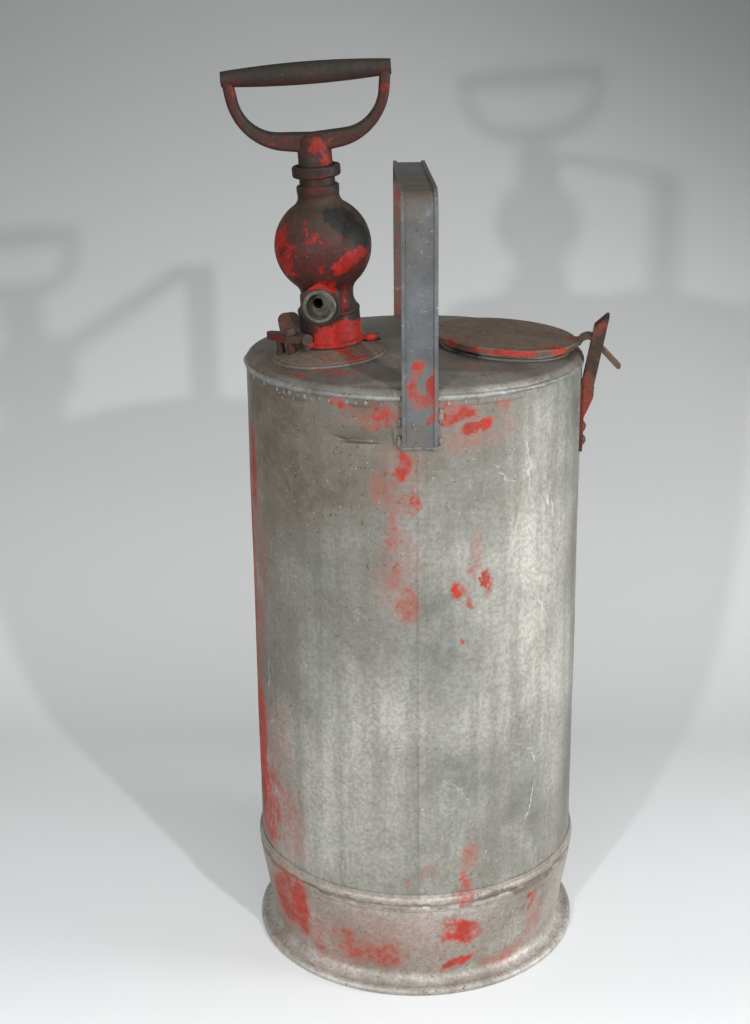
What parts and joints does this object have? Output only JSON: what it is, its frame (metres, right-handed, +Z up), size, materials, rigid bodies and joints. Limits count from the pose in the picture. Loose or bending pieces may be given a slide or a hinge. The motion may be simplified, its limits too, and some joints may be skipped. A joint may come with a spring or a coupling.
{
  "type": "hand-pump fire extinguisher",
  "caption": "Portable water fire extinguisher: upright sheet-steel tank with strap handle, D-handled force pump with ball air vessel, side hose outlet and hinged filler lid.",
  "frame": {"origin": "on the tank's axis at floor level, in the plane of the foot's worn resting face", "axes": "+Z up along the tank, +X towards the filler lid, -Y towards the hose outlet's side, where the picture was taken from"},
  "size_m": [0.29, 0.2622, 0.6992],
  "materials": {
    "tank_steel": "weathered hot-dip galvanised sheet with remains of red paint",
    "deck_steel": "galvanised sheet under brown dust and grime",
    "solder": "dull lead and tin solder",
    "lid_steel": "dark brown grime over worn red paint",
    "gasket_rubber": "aged black rubber",
    "bracket_steel": "rusted steel with worn red paint",
    "pump_casting": "worn red paint over dark tarnished brass casting",
    "tarnished_brass": "grey-green tarnished brass",
    "inner_brass": "dull turned brass",
    "handle_iron": "dark bare iron with worn red paint",
    "gland_packing": "greased hemp packing",
    "cup_leather": "oiled leather"
  },
  "bodies": {
    "tank": {"tank_body": "tank_steel", "tank_deck": "deck_steel", "rim_solder": "solder", "tank_bottom": "tank_steel", "base_skirt": "tank_steel", "foot_wire": "bracket_steel", "strap_handle": "tank_steel", "handle_solder": "solder", "filler_neck": "deck_steel", "neck_solder": "solder", "hinge_bracket": "bracket_steel", "hinge_pin": "bracket_steel", "bracket_rivets": "bracket_steel", "deck_flange": "pump_casting", "flange_solder": "solder", "base_gasket": "gasket_rubber", "pump_base": "pump_casting", "pump_barrel": "inner_brass", "air_vessel": "pump_casting", "outlet_bush": "tarnished_brass", "gland_packing": "gland_packing", "gland_follower": "tarnished_brass", "foot_valve_body": "inner_brass", "foot_valve_cage": "inner_brass", "strainer": "inner_brass", "clamp_bar": "pump_casting", "clamp_stud": "bracket_steel"},
    "lid": {"lid": "lid_steel", "lid_gasket": "gasket_rubber"},
    "piston": {"piston_body": "inner_brass", "piston_cup": "cup_leather", "piston_nut": "inner_brass"},
    "plunger": {"plunger_tube": "inner_brass", "d_handle": "handle_iron", "handle_pin": "handle_iron"},
    "piston_ball": {"piston_ball": "inner_brass"},
    "foot_valve_ball": {"foot_valve_ball": "inner_brass"},
    "gland_nut": {"gland_nut": "pump_casting"},
    "thumb_nut": {"thumb_nut": "pump_casting"}
  },
  "joints": [
    {"name": "lid_hinge", "type": "hinge", "parent": "tank", "child": "lid", "pos_m": [0.13538, -0.01662, 0.4925], "axis": [0.1219, 0.9925, 0], "range_deg": [0, 53]},
    {"name": "pump_stroke", "type": "slide", "parent": "tank", "child": "piston", "axis": [-0.0671, -0.0335, 0.9972], "range_m": [0, 0.25]},
    {"name": "handle_turn", "type": "hinge", "parent": "piston", "child": "plunger", "pos_m": [-0.06935, -0.03458, 0.62398], "axis": [-0.0671, -0.0335, 0.9972], "continuous": true},
    {"name": "piston_ball_lift", "type": "slide", "parent": "piston", "child": "piston_ball", "axis": [-0.0671, -0.0335, 0.9972], "range_m": [0, 0.0026]},
    {"name": "foot_ball_lift", "type": "slide", "parent": "tank", "child": "foot_valve_ball", "axis": [-0.0671, -0.0335, 0.9972], "range_m": [0, 0.005]},
    {"name": "gland_nut_turn", "type": "hinge", "parent": "tank", "child": "gland_nut", "pos_m": [-0.06935, -0.03458, 0.62398], "axis": [-0.0671, -0.0335, 0.9972], "continuous": true},
    {"name": "thumb_nut_turn", "type": "hinge", "parent": "tank", "child": "thumb_nut", "pos_m": [-0.09032, -0.04732, 0.51083], "axis": [-0.0671, -0.0335, 0.9972], "continuous": true}
  ]
}
